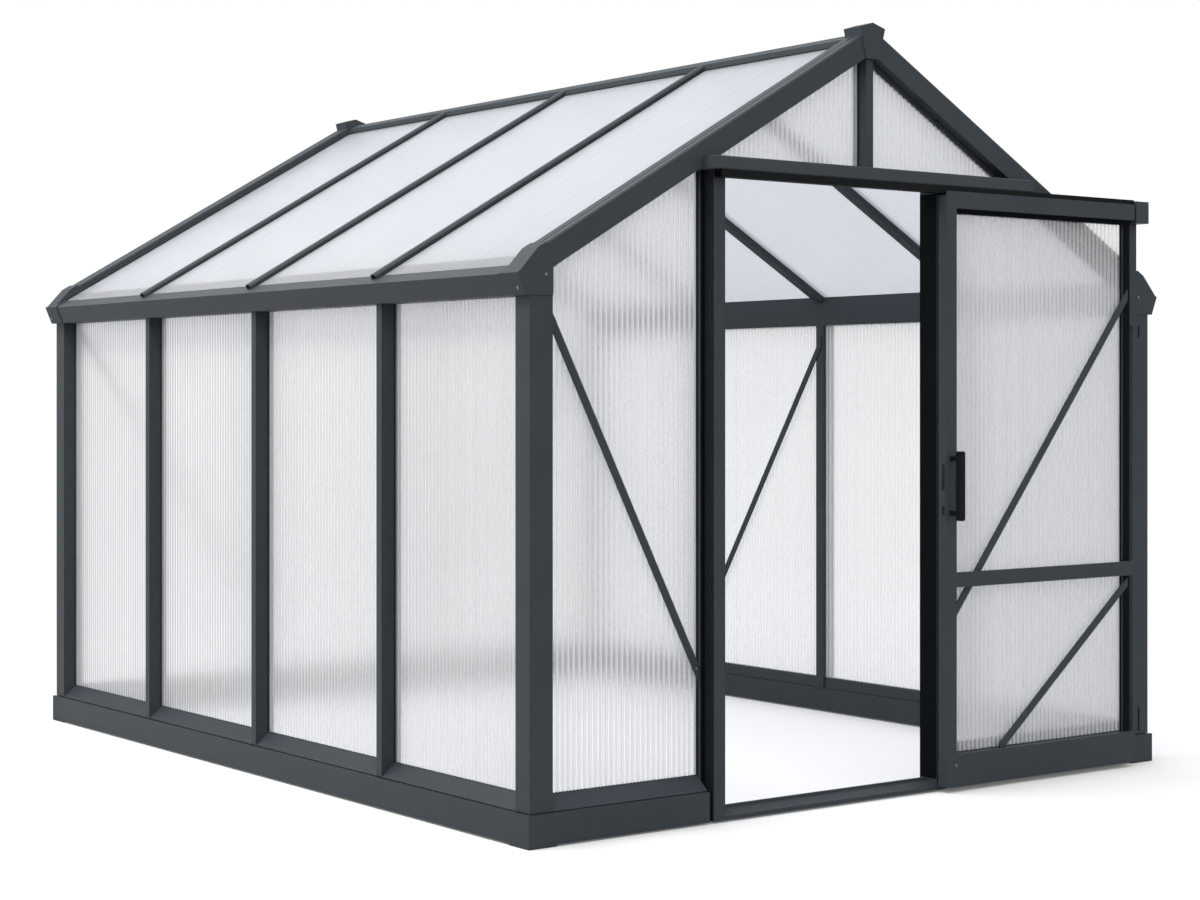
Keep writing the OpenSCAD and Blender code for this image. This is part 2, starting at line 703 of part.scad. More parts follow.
base_rail_left();
base_rail_right();
base_rail_back();
base_rail_front_left();
base_rail_front_right();
threshold();
corner_boots();
corner_posts();
side_posts_left();
side_posts_right();
back_studs();
door_jambs();
eave_beam_left();
eave_beam_right();
eave_brackets();
ridge_beam();
ridge_caps();
gable_rafters_front();
gable_rafters_back();
roof_bars_left();
roof_bars_right();
king_posts();
door_header();
back_rail();
side_sheets_left();
side_sheets_right();
roof_sheets_left();
roof_sheets_right();
front_sheet_left();
front_sheet_right();
back_sheets();
gable_sheets();
wall_braces();
door_track();
track_upright();
track_cap();
leaf_stile_left();
leaf_stile_right();
leaf_top_rail();
leaf_mid_rail();
leaf_bottom_rail();
leaf_sheet();
leaf_braces();
leaf_handle();
leaf_rollers();
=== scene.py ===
"""Looks for a walk-in greenhouse: powder-coated frame, twin-wall sheets, gaskets, screws and door gear.

Metres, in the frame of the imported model: +Z is up and the front gable, with the sliding door, faces -Y.
"""
import logging
import math
from dataclasses import dataclass, field
from enum import Enum
from typing import Sequence

import bmesh
import bpy
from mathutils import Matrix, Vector


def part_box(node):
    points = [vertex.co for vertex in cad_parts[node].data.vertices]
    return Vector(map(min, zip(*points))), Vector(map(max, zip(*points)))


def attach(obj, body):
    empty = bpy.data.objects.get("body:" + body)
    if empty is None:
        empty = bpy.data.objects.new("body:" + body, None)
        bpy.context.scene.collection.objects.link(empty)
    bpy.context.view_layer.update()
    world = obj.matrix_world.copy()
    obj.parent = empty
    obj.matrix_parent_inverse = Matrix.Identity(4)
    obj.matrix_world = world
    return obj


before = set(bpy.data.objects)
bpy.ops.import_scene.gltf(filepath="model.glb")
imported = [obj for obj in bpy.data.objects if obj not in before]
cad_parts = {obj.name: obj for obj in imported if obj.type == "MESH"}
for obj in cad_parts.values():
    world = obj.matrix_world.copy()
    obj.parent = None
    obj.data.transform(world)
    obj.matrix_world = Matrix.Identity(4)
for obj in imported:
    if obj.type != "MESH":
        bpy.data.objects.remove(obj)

log = logging.getLogger("greenhouse")
MM = 0.001
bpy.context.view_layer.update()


class Body(Enum):
    """The two rigid bodies of the greenhouse."""

    HOUSE = "house"
    DOOR = "door"


class Slot(Enum):
    """The record's material slots of the fittings; make takes one but does not use it, and each fitting takes
    its finish from the material it is given.
    """

    FRAME = "frame"
    BLACK = "black_fittings"


class Across(Enum):
    """The axis across the flutes of a sheet, as an index into X, Y, Z."""

    X = 0
    Y = 1


def linear(hex_colour: str) -> tuple[float, float, float, float]:
    """Turns an sRGB hex colour into a linear one.

    Args:
        hex_colour: six hex digits, with or without a leading hash.

    Returns:
        Linear red, green and blue, and an alpha of 1.
    """
    digits = hex_colour.lstrip("#")
    parts = [int(digits[i:i + 2], 16) / 255 for i in (0, 2, 4)]
    red, green, blue = (c / 12.92 if c <= 0.04045 else ((c + 0.055) / 1.055) ** 2.4 for c in parts)
    return red, green, blue, 1.0


def add(tree: bpy.types.NodeTree, kind: str, sockets: dict | None = None, **settings) -> bpy.types.Node:
    """Adds a node to a tree.

    Args:
        tree: the node tree.
        kind: the node's class name, without the leading "ShaderNode".
        sockets: input name or index to a value, or to an output socket that is linked to it.
        settings: the node's own properties.

    Returns:
        The new node.
    """
    made = tree.nodes.new("ShaderNode" + kind)
    for key, value in settings.items():
        setattr(made, key, value)
    for key, value in (sockets or {}).items():
        if isinstance(value, bpy.types.NodeSocket):
            tree.links.new(value, made.inputs[key])
        else:
            made.inputs[key].default_value = value
    return made


def blank_material(name: str) -> tuple[bpy.types.Material, bpy.types.NodeTree]:
    """Makes an empty node material.

    Args:
        name: the material's name.

    Returns:
        The material and its cleared node tree.
    """
    material = bpy.data.materials.new(name)
    material.use_nodes = True
    material.node_tree.nodes.clear()
    return material, material.node_tree


# ---- Finishes ----


@dataclass(frozen=True)
class PowderCoat:
    """Polyester powder coat, sprayed and baked on extruded aluminium: a satin skin with a faint orange peel,
    which spreads highlights softly along every face, and a film of dust that lies in patches."""

    name: str = "charcoal_powder_coat"
    colour: str = "#373d42"
    dusty: str = "#3f454a"
    smoothest: float = 0.40
    roughest: float = 0.51
    gloss: float = 0.10
    patch: float = 200 * MM
    peel: float = 2.2 * MM
    peel_depth: float = 0.02 * MM

    def build(self) -> bpy.types.Material:
        """Returns the finished material."""
        material, tree = blank_material(self.name)
        where = add(tree, "TexCoord").outputs["Object"]
        cloud = add(tree, "TexNoise", {"Vector": where, "Scale": 1 / self.patch, "Detail": 4.0}).outputs[0]
        tint = add(tree, "Mix", {0: cloud, 6: linear(self.colour), 7: linear(self.dusty)}, data_type="RGBA")
        rough = add(tree, "MapRange", {0: cloud, 3: self.smoothest, 4: self.roughest})
        peel = add(tree, "TexNoise", {"Vector": where, "Scale": 1 / self.peel, "Detail": 1.0}).outputs[0]
        bump = add(tree, "Bump", {"Height": peel, "Strength": 0.25, "Distance": self.peel_depth})
        skin = add(tree, "BsdfPrincipled", {
            "Base Color": tint.outputs[2], "Roughness": rough.outputs[0], "IOR": 1.5,
            "Specular IOR Level": self.gloss, "Normal": bump.outputs[0],
        })
        add(tree, "OutputMaterial", {"Surface": skin.outputs[0]})
        return material


@dataclass(frozen=True)
class MouldedNylon:
    """Glass-filled nylon, moulded against a spark-eroded tool: a fine matt grain, duller than the coat."""

    name: str
    colour: str
    fleck: str
    gloss: float = 0.12
    roughness: float = 0.55
    grain: float = 0.8 * MM
    grain_depth: float = 0.03 * MM

    def build(self) -> bpy.types.Material:
        """Returns the finished material."""
        material, tree = blank_material(self.name)
        where = add(tree, "TexCoord").outputs["Object"]
        grain = add(tree, "TexNoise", {"Vector": where, "Scale": 1 / self.grain, "Detail": 2.0}).outputs[0]
        tint = add(tree, "Mix", {0: grain, 6: linear(self.colour), 7: linear(self.fleck)}, data_type="RGBA")
        bump = add(tree, "Bump", {"Height": grain, "Strength": 0.3, "Distance": self.grain_depth})
        skin = add(tree, "BsdfPrincipled", {
            "Base Color": tint.outputs[2], "Roughness": self.roughness, "IOR": 1.53,
            "Specular IOR Level": self.gloss, "Normal": bump.outputs[0],
        })
        add(tree, "OutputMaterial", {"Surface": skin.outputs[0]})
        return material


@dataclass(frozen=True)
class BrushPile:
    """Black polypropylene brush pile, woven and heat cut: short tufted fibres that trap nearly all light."""

    # Near-black: the real brush along the doorway, and also painted shade where it lines the bottoms of the
    # jamb recesses and the strips over the leaf's right stile and under its top rail.
    name: str = "black_brush_pile_and_painted_shade"
    colour: str = "#050708"
    tips: str = "#0d1013"
    tuft: float = 1.0 * MM
    tuft_depth: float = 0.3 * MM

    def build(self) -> bpy.types.Material:
        """Returns the finished material."""
        material, tree = blank_material(self.name)
        where = add(tree, "TexCoord").outputs["Object"]
        tufts = add(tree, "TexNoise", {"Vector": where, "Scale": 1 / self.tuft, "Detail": 2.0}).outputs[0]
        tint = add(tree, "Mix", {0: tufts, 6: linear(self.colour), 7: linear(self.tips)}, data_type="RGBA")
        bump = add(tree, "Bump", {"Height": tufts, "Strength": 0.6, "Distance": self.tuft_depth})
        skin = add(tree, "BsdfPrincipled", {
            "Base Color": tint.outputs[2], "Roughness": 0.95, "Specular IOR Level": 0.1,
            "Normal": bump.outputs[0],
        })
        add(tree, "OutputMaterial", {"Surface": skin.outputs[0]})
        return material


@dataclass(frozen=True)
class ExtrudedRubber:
    """EPDM rubber, extruded and cured: black, soft and dry, with a faintly uneven skin and a greyish bloom
    that comes up in patches."""

    # Black rubber of the gaskets, and also painted shade where it lines the sides of the jamb recesses and
    # fills the latch plate's openings.
    name: str = "black_epdm_rubber_and_painted_shade"
    colour: str = "#0a0d0f"
    bloom: str = "#16191c"
    patch: float = 33.3 * MM
    grain: float = 1.5 * MM
    grain_depth: float = 0.05 * MM

    def build(self) -> bpy.types.Material:
        """Returns the finished material."""
        material, tree = blank_material(self.name)
        where = add(tree, "TexCoord").outputs["Object"]
        cloud = add(tree, "TexNoise", {"Vector": where, "Scale": 1 / self.patch, "Detail": 3.0}).outputs[0]
        tint = add(tree, "Mix", {0: cloud, 6: linear(self.colour), 7: linear(self.bloom)}, data_type="RGBA")
        grain = add(tree, "TexNoise", {"Vector": where, "Scale": 1 / self.grain}).outputs[0]
        bump = add(tree, "Bump", {"Height": grain, "Strength": 0.3, "Distance": self.grain_depth})
        skin = add(tree, "BsdfPrincipled", {
            "Base Color": tint.outputs[2], "Roughness": 0.75, "IOR": 1.52,
            "Specular IOR Level": 0.2, "Normal": bump.outputs[0],
        })
        add(tree, "OutputMaterial", {"Surface": skin.outputs[0]})
        return material


@dataclass(frozen=True)
class ZincPlate:
    """Zinc-plated steel, cold headed: a grey metal, dulled unevenly by its passivation."""

    name: str = "zinc_plated_steel"
    colour: str = "#75787c"
    smoothest: float = 0.30
    roughest: float = 0.48
    blotch: float = 2.5 * MM

    def build(self) -> bpy.types.Material:
        """Returns the finished material."""
        material, tree = blank_material(self.name)
        where = add(tree, "TexCoord").outputs["Object"]
        cloud = add(tree, "TexNoise", {"Vector": where, "Scale": 1 / self.blotch, "Detail": 2.0}).outputs[0]
        rough = add(tree, "MapRange", {0: cloud, 3: self.smoothest, 4: self.roughest})
        skin = add(tree, "BsdfPrincipled", {
            "Base Color": linear(self.colour), "Metallic": 1.0, "Roughness": rough.outputs[0],
        })
        add(tree, "OutputMaterial", {"Surface": skin.outputs[0]})
        return material


@dataclass(frozen=True)
class TwinWallPolycarbonate:
    """Twin-wall polycarbonate, extruded in one go: two skins joined by ribs. Each flute between two ribs
    works as a weak lens and each rib as a milky line, so what lies behind breaks into upright streaks, crisp
    when it is close and soft when it is far. The milk throws part of the light back and lets the rest
    through, and its tint changes a little from flute to flute. Light on its way to something else goes
    straight through, a little dimmed.

    Real flutes are about 6 mm wide, which is too fine to show, so they are drawn 18 mm wide. The IOR is
    lower than polycarbonate's 1.58, because two thin skins turn light much less than a solid plate does.
    """

    name: str
    across: Across
    pitch: float = 18 * MM
    colour: str = "#f8f9fa"
    milk: str = "#fefefe"
    milkiness: float = 0.26
    rib_milkiness: float = 0.62
    thrown_back: float = 0.5
    roughness: float = 0.20
    ior: float = 1.2
    lens_depth: float = 0.15 * MM
    rib_from: float = 0.2
    rib_to: float = 0.9
    streak: float = 40 * MM
    streak_colour: str = "#f2f3f4"
    passed: str = "#f0f1f3"

    def build(self) -> bpy.types.Material:
        """Returns the finished material."""
        material, tree = blank_material(self.name)
        where = add(tree, "TexCoord").outputs["Object"]
        axis = add(tree, "SeparateXYZ", {0: where}).outputs[self.across.value]
        turns = add(tree, "Math", {0: axis, 1: 2 * math.pi / self.pitch}, operation="MULTIPLY").outputs[0]
        wave = add(tree, "Math", {0: turns}, operation="COSINE").outputs[0]
        lens = add(tree, "Bump", {"Height": wave, "Strength": 1.0, "Distance": self.lens_depth / 2})
        clear = add(tree, "BsdfPrincipled", {
            "Base Color": linear(self.colour), "Roughness": self.roughness, "IOR": self.ior,
            "Transmission Weight": 1.0, "Normal": lens.outputs[0],
        })
        rib = add(tree, "MapRange", {
            0: wave, 1: self.rib_from, 2: self.rib_to, 3: self.milkiness, 4: self.rib_milkiness,
        })
        uneven = add(tree, "TexNoise", {"W": axis, "Scale": 1 / self.streak, "Detail": 3.0},
                     noise_dimensions="1D").outputs[0]
        tint = add(tree, "Mix", {0: uneven, 6: linear(self.milk), 7: linear(self.streak_colour)},
                   data_type="RGBA").outputs[2]
        glow = add(tree, "BsdfTranslucent", {"Color": tint})
        skin = add(tree, "BsdfPrincipled", {"Base Color": tint, "Roughness": 0.5, "IOR": 1.3})
        milk = add(tree, "MixShader", {0: self.thrown_back, 1: glow.outputs[0], 2: skin.outputs[0]})
        sheet = add(tree, "MixShader", {0: rib.outputs[0], 1: clear.outputs[0], 2: milk.outputs[0]})
        path = add(tree, "LightPath")
        passes = add(tree, "Math", {0: path.outputs["Is Shadow Ray"], 1: path.outputs["Is Diffuse Ray"]},
                     operation="MAXIMUM")
        through = add(tree, "BsdfTransparent", {"Color": linear(self.passed)})
        light = add(tree, "MixShader", {0: passes.outputs[0], 1: sheet.outputs[0], 2: through.outputs[0]})
        add(tree, "OutputMaterial", {"Surface": light.outputs[0]})
        return material


@dataclass(frozen=True)
class StudioFloor:
    """Painted studio floor: pale and matt, lifted where it is seen so that it meets the background, and a
    little darker where it only bounces light."""

    name: str = "studio_floor"
    colour: str = "#ededed"
    bounce: str = "#9c9c9c"
    lift: float = 0.10

    def build(self) -> bpy.types.Material:
        """Returns the finished material."""
        material, tree = blank_material(self.name)
        seen = seen_rays(tree)
        lift = add(tree, "Math", {0: seen, 1: self.lift}, operation="MULTIPLY")
        tint = add(tree, "Mix", {0: seen, 6: linear(self.bounce), 7: linear(self.colour)}, data_type="RGBA")
        paint = add(tree, "BsdfPrincipled", {
            "Base Color": tint.outputs[2], "Roughness": 0.9, "Specular IOR Level": 0.1,
            "Emission Color": (1, 1, 1, 1), "Emission Strength": lift.outputs[0],
        })
        add(tree, "OutputMaterial", {"Surface": paint.outputs[0]})
        return material


def seen_rays(tree: bpy.types.NodeTree) -> bpy.types.NodeSocket:
    """Adds nodes that give 1 where the camera sees something straight, mirrored or through a sheet.

    Args:
        tree: the node tree.

    Returns:
        The socket with that value.
    """
    path = add(tree, "LightPath")
    straight = add(tree, "Math", {0: path.outputs["Is Camera Ray"], 1: path.outputs["Is Transmission Ray"]},
                   operation="MAXIMUM")
    return add(tree, "Math", {0: straight.outputs[0], 1: path.outputs["Is Glossy Ray"]},
               operation="MAXIMUM").outputs[0]


# ---- Studio ----


@dataclass(frozen=True)
class Softbox:
    """An oblong area light that the camera doesn't see."""

    name: str
    place: tuple[float, float, float]
    aim: tuple[float, float, float]
    size: tuple[float, float]
    power: float
    colour: str

    def hang(self) -> None:
        """Hangs the light."""
        lamp = bpy.data.lights.new(self.name, "AREA")
        lamp.shape, lamp.size, lamp.size_y = "RECTANGLE", *self.size
        lamp.energy, lamp.color = self.power, linear(self.colour)[:3]
        holder = bpy.data.objects.new(self.name, lamp)
        bpy.context.scene.collection.objects.link(holder)
        holder.location = self.place
        holder.rotation_euler = (Vector(self.aim) - Vector(self.place)).to_track_quat("-Z", "Y").to_euler()
        holder.visible_camera = holder.visible_transmission = False


@dataclass
class Studio:
    """The floor, the soft lights, the white surround and the camera."""

    floor_size: float = 90.0
    floor_drop: float = 0.5 * MM
    surround: float = 1.10
    lens: float = 69.0
    sensor: float = 36.0
    far: float = 300.0
    eye: tuple[float, float, float] = (-4.654, -6.352, 1.178)
    heading: float = 36.8
    shift_y: float = -0.0448
    softboxes: Sequence[Softbox] = (
        Softbox("left_softbox", (-2.5, 0.0, 4.0), (-1.2, 0.0, 1.0), (4.5, 0.9), 120.0, "#fffaf2"),
        Softbox("sky_softbox", (-0.8, 0.3, 6.5), (0.0, 0.0, 0.0), (5.0, 5.0), 80.0, "#dbe6fa"),
    )

    def build(self) -> None:
        """Builds the whole studio."""
        self._floor()
        self._surround()
        for softbox in self.softboxes:
            softbox.hang()
        self._camera()

    def _floor(self) -> None:
        """Lays the floor as a piece of the stage."""
        half = self.floor_size / 2
        mesh = bpy.data.meshes.new("studio_floor")
        mesh.from_pydata([(-half, -half, 0), (half, -half, 0), (half, half, 0), (-half, half, 0)], [],
                         [(0, 1, 2, 3)])
        floor = bpy.data.objects.new("studio_floor", mesh)
        bpy.context.scene.collection.objects.link(floor)
        floor.location.z = -self.floor_drop
        mesh.materials.append(StudioFloor().build())

    def _surround(self) -> None:
        """Makes the world white where it is seen or mirrored, and a little brighter as a light."""
        world = bpy.data.worlds.new("surround")
        bpy.context.scene.world = world
        world.use_nodes = True
        tree = world.node_tree
        tree.nodes.clear()
        level = add(tree, "MapRange", {0: seen_rays(tree), 3: self.surround, 4: 1.0})
        light = add(tree, "Background", {"Color": (1, 1, 1, 1), "Strength": level.outputs[0]})
        add(tree, "OutputWorld", {"Surface": light.outputs[0]})

    def _camera(self) -> None:
        """Sets up the camera, level, with the horizon raised by a small shift."""
        camera = bpy.data.cameras.new("camera")
        camera.lens, camera.sensor_width, camera.shift_y = self.lens, self.sensor, self.shift_y
        camera.clip_end = self.far
        holder = bpy.data.objects.new("camera", camera)
        bpy.context.scene.collection.objects.link(holder)
        holder.location = self.eye
        holder.rotation_euler = (math.radians(90), 0, -math.radians(self.heading))
        bpy.context.scene.camera = holder


# ---- Making ----


class Fitting:
    """Faces of one small piece, gathered before they become a mesh."""

    def __init__(self) -> None:
        """Starts with no faces."""
        self.points: list[Vector] = []
        self.faces: list[list[int]] = []

    def bar(self, outline: Sequence[tuple[float, float]], start: Vector, end: Vector, across: Vector,
            out: Vector) -> None:
        """Carries a closed outline along a straight line and caps both ends.

        Args:
            outline: points as distances along across and out.
            start: where the line starts.
            end: where it ends.
            across: first direction of the outline.
            out: second direction of the outline.
        """
        base, count = len(self.points), len(outline)
        for place in (start, end):
            self.points += [place + across * a + out * b for a, b in outline]
        self.faces += [[base + i, base + (i + 1) % count, base + count + (i + 1) % count, base + count + i]
                       for i in range(count)]
        self.faces += [[base + i for i in reversed(range(count))], [base + count + i for i in range(count)]]

    def dome(self, profile: Sequence[tuple[float, float]], centre: Vector, axis: Vector, cross: float,
             sides: int = 20) -> None:
        """Turns a profile round an axis, and closes it in the middle.

        Args:
            profile: radius and height of each ring, from the rim inwards.
            centre: the middle of the seat.
            axis: unit vector out of the seat.
            cross: how far the two innermost rings are pinched into a four-armed recess, from 0 to 1.
            sides: number of sides.
        """
        side = axis.orthogonal().normalized()
        other = axis.cross(side)
        base = len(self.points)
        for ring, (radius, height) in enumerate(profile):
            pinch = cross if ring >= len(profile) - 2 else 0.0
            for i in range(sides):
                turn = 2 * math.pi * i / sides
                reach = radius * (1 - pinch * abs(math.sin(2 * turn)))
                spoke = side * math.cos(turn) + other * math.sin(turn)
                self.points.append(centre + axis * height + spoke * reach)
        for ring in range(len(profile) - 1):
            for i in range(sides):
                a, b = base + ring * sides + i, base + ring * sides + (i + 1) % sides
                self.faces.append([a, b, b + sides, a + sides])
        last = base + (len(profile) - 1) * sides
        self.faces.append([last + i for i in range(sides)])

    def make(self, name: str, body: Body, slot: Slot, material: bpy.types.Material,
             bevel: float = 0.0) -> None:
        """Makes the object, and puts it on a body.

        Args:
            name: the piece's name.
            body: the body that carries it.
            slot: not used.
            material: its finish.
            bevel: width of the rounding along its edges, in metres.
        """
        mesh = bpy.data.meshes.new(name)
        mesh.from_pydata([tuple(point) for point in self.points], [], self.faces)
        mesh.validate()
        work = bmesh.new()
        work.from_mesh(mesh)
        bmesh.ops.recalc_face_normals(work, faces=work.faces)
        work.to_mesh(mesh)
        work.free()
        mesh.materials.append(material)
        piece = bpy.data.objects.new(name, mesh)
        bpy.context.scene.collection.objects.link(piece)
        if bevel:
            rounding = piece.modifiers.new("rounding", "BEVEL")
            rounding.width, rounding.segments, rounding.limit_method = bevel, 2, "ANGLE"
        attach(piece, body.value)
        log.info("piece %s: %d faces", name, len(mesh.polygons))


# ---- The greenhouse ----


@dataclass(frozen=True)
class House:
    """Main lines of the greenhouse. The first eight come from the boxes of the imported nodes, and the rest are
    sizes that the boxes don't give, the same as in the part."""

    half_w: float
    y_front: float
    y_back: float
    eave_z: float
    head_z: float
    door_x: tuple[float, float]
    leaf_x: tuple[float, float]
    leaf_front: float
    bays: int = 4
    post_w: float = 28 * MM
    corner_w: float = 74 * MM
    corner_d: float = 65 * MM
    sheet_set: float = 45 * MM
    sheet_t: float = 6 * MM
    sill_z: float = 129 * MM
    head_h: float = 37 * MM
    rafter_w: float = 70 * MM
    ridge_half: float = 28 * MM
    jamb_w: float = 40 * MM
    body_w: float = 55 * MM
    pitch: float = math.radians(30)
    lean: float = math.radians(23)
    eave_out: float = 38 * MM
    eave_face: float = 61 * MM
    eave_top: float = 50 * MM
    lip_n: float = -51 * MM

    @classmethod
    def from_model(cls) -> "House":
        """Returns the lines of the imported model."""
        low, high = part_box("corner_posts")
        jamb_low, jamb_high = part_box("door_jambs")
        leaf_low, leaf_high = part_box("leaf_top_rail")
        stile_low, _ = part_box("leaf_stile_left")
        return cls(
            half_w=high[0], y_front=low[1], y_back=high[1], eave_z=high[2], head_z=jamb_high[2],
            door_x=(jamb_low[0] + cls.body_w, jamb_high[0] - cls.body_w),
            leaf_x=(stile_low[0], leaf_high[0]), leaf_front=leaf_low[1],
        )

    @property
    def tip_z(self) -> float:
        """Height of the tip of the eave beam."""
        return self.eave_z + self.eave_face * math.cos(self.lean)

    @property
    def corner_x(self) -> float:
        """Inner flank of a corner post, from the middle."""
        return self.half_w - self.corner_w

    @property
    def stud_x(self) -> float:
        """Middle of a stud in the back wall, from the middle."""
        return self.half_w / 3

    @property
    def jamb_flanks(self) -> tuple[float, float]:
        """Outer flanks of the two jambs, left and right."""
        return self.door_x[0] - self.body_w, self.door_x[1] + self.body_w

    def slope(self, side: int, y: float, s: float, n: float) -> Vector:
        """A point on the roof.

        Args:
            side: -1 for the left slope, 1 for the right one.
            y: its place along the house.
            s: its distance up the slope from the tip of the eave beam.
            n: its distance above the top of the roof sheets, square to the slope.

        Returns:
            The point.
        """
        inward = s * math.cos(self.pitch) - n * math.sin(self.pitch) - self.eave_out
        rise = s * math.sin(self.pitch) + n * math.cos(self.pitch)
        return Vector((side * (self.half_w - inward), y, self.tip_z + rise))

    def s_at(self, inward: float, n: float) -> float:
        """How far up the slope the line n crosses a distance inward from the wall's outer face."""
        return (inward + self.eave_out + n * math.sin(self.pitch)) / math.cos(self.pitch)

    def z_at(self, inward: float, n: float) -> float:
        """Height of the line n at a distance inward from the wall's outer face."""
        return self.tip_z + (inward + self.eave_out) * math.tan(self.pitch) + n / math.cos(self.pitch)

    def post_places(self) -> list[float]:
        """Places of the side posts and roof bars along the house."""
        step = (self.y_back - self.y_front) / self.bays
        return [self.y_front + step * i for i in range(1, self.bays)]

    def bay_flanks(self, end_set: float) -> list[tuple[float, int]]:
        """Flanks beside the sheets of a side wall or of a roof slope.

        Args:
            end_set: how far the first and the last flank stand in from the outer faces of the gables.

        Returns:
            The place of each flank along the house, and 1 if it faces the back or -1 if it faces the front.
        """
        flanks = [(self.y_front + end_set, 1), (self.y_back - end_set, -1)]
        for place in self.post_places():
            flanks += [(place - self.post_w / 2, -1), (place + self.post_w / 2, 1)]
        return flanks

    def sheet_feet(self) -> list[tuple[Vector, Vector, Vector]]:
        """Where each fixed wall sheet meets its sill.

        Returns:
            The start and the end of the line on the sheet's outer face, and the unit vector out of the sheet.
        """
        z, half_post = self.sill_z, self.post_w / 2
        edges = sorted(place for place, _ in self.bay_flanks(self.corner_d))
        feet = []
        for side in (-1, 1):
            x = side * (self.half_w - self.sheet_set)
            feet += [(Vector((x, y0, z)), Vector((x, y1, z)), Vector((side, 0, 0)))
                     for y0, y1 in zip(edges[::2], edges[1::2])]
        corner, stud = self.corner_x, self.stud_x
        left_jamb, right_jamb = self.jamb_flanks
        front, back = self.y_front + self.sheet_set, self.y_back - self.sheet_set
        spans = [(front, -1, -corner, left_jamb),
                 (front, -1, right_jamb, corner),
                 (back, 1, -corner, -stud - half_post),
                 (back, 1, half_post - stud, stud - half_post),
                 (back, 1, stud + half_post, corner)]
        feet += [(Vector((x0, y, z)), Vector((x1, y, z)), Vector((0, way, 0))) for y, way, x0, x1 in spans]
        return feet

    def gable_top(self, x: float) -> float:
        """Height at which a gable's wall sheet ends, at a distance from the middle."""
        return min(self.head_z, self.z_at(self.half_w - abs(x), self.lip_n))


@dataclass(frozen=True)
class Finishes:
    """The finishes of the greenhouse, made once."""

    coat: bpy.types.Material = field(default_factory=lambda: PowderCoat().build())
    charcoal_nylon: bpy.types.Material = field(
        default_factory=lambda: MouldedNylon("charcoal_nylon", "#363c41", "#3e444a").build())
    # Black of the handle and rollers, and of the door track, where it is partly painted shade under the header.
    black_nylon_and_painted_shade: bpy.types.Material = field(
        default_factory=lambda: MouldedNylon("black_nylon_and_painted_shade", "#07090a", "#0f1113", gloss=0.08).build())
    # Rubber of the gaskets, and painted shade on the recess sides and on the latch openings.
    rubber: bpy.types.Material = field(default_factory=lambda: ExtrudedRubber().build())
    # Brush of the doorway, and painted shade on the strips in the jamb recesses and on the leaf.
    brush: bpy.types.Material = field(default_factory=lambda: BrushPile().build())
    zinc: bpy.types.Material = field(default_factory=lambda: ZincPlate().build())
    side_sheet: bpy.types.Material = field(
        default_factory=lambda: TwinWallPolycarbonate("twin_wall_side", Across.Y).build())
    # The gable copy's whiter clear colour is painted light: the same polycarbonate, made lighter where the
    # gable gets less light.
    gable_sheet: bpy.types.Material = field(
        default_factory=lambda: TwinWallPolycarbonate(
            "twin_wall_gable", Across.X, colour="#fefefe", milkiness=0.23,
            rib_milkiness=0.66, thrown_back=0.6).build())
    # The roof copy's greyer, bluer milk, streaks and clear colour are painted shade and a painted blue of the
    # sky: the same polycarbonate, made darker and bluer where the sky lights it more.
    roof_sheet: bpy.types.Material = field(
        default_factory=lambda: TwinWallPolycarbonate(
            "twin_wall_roof", Across.Y, colour="#f9fbfe", milk="#e6e8ec", streak_colour="#dbdfe5",
            milkiness=0.52, rib_milkiness=0.62, thrown_back=0.3).build())

    def dress(self) -> None:
        """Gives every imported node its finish."""
        for name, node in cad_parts.items():
            material = self._finish_for(name)
            node.data.materials.clear()
            node.data.materials.append(material)
            log.info("node %s: %s", name, material.name)

    def _finish_for(self, name: str) -> bpy.types.Material:
        """Chooses the finish of a node.

        Args:
            name: the node's name.

        Returns:
            Its material.
        """
        if name.startswith("roof_sheets"):
            return self.roof_sheet
        if name.startswith("side_sheets"):
            return self.side_sheet
        if "sheet" in name:
            return self.gable_sheet
        # The door track's near-black is partly painted shade: it stands for the shade under the header as well
        # as for the track's own dark colour.
        if name in ("door_track", "leaf_handle", "leaf_rollers"):
            return self.black_nylon_and_painted_shade
        if name in ("corner_boots", "eave_brackets", "ridge_caps", "track_cap"):
            return self.charcoal_nylon
        return self.coat


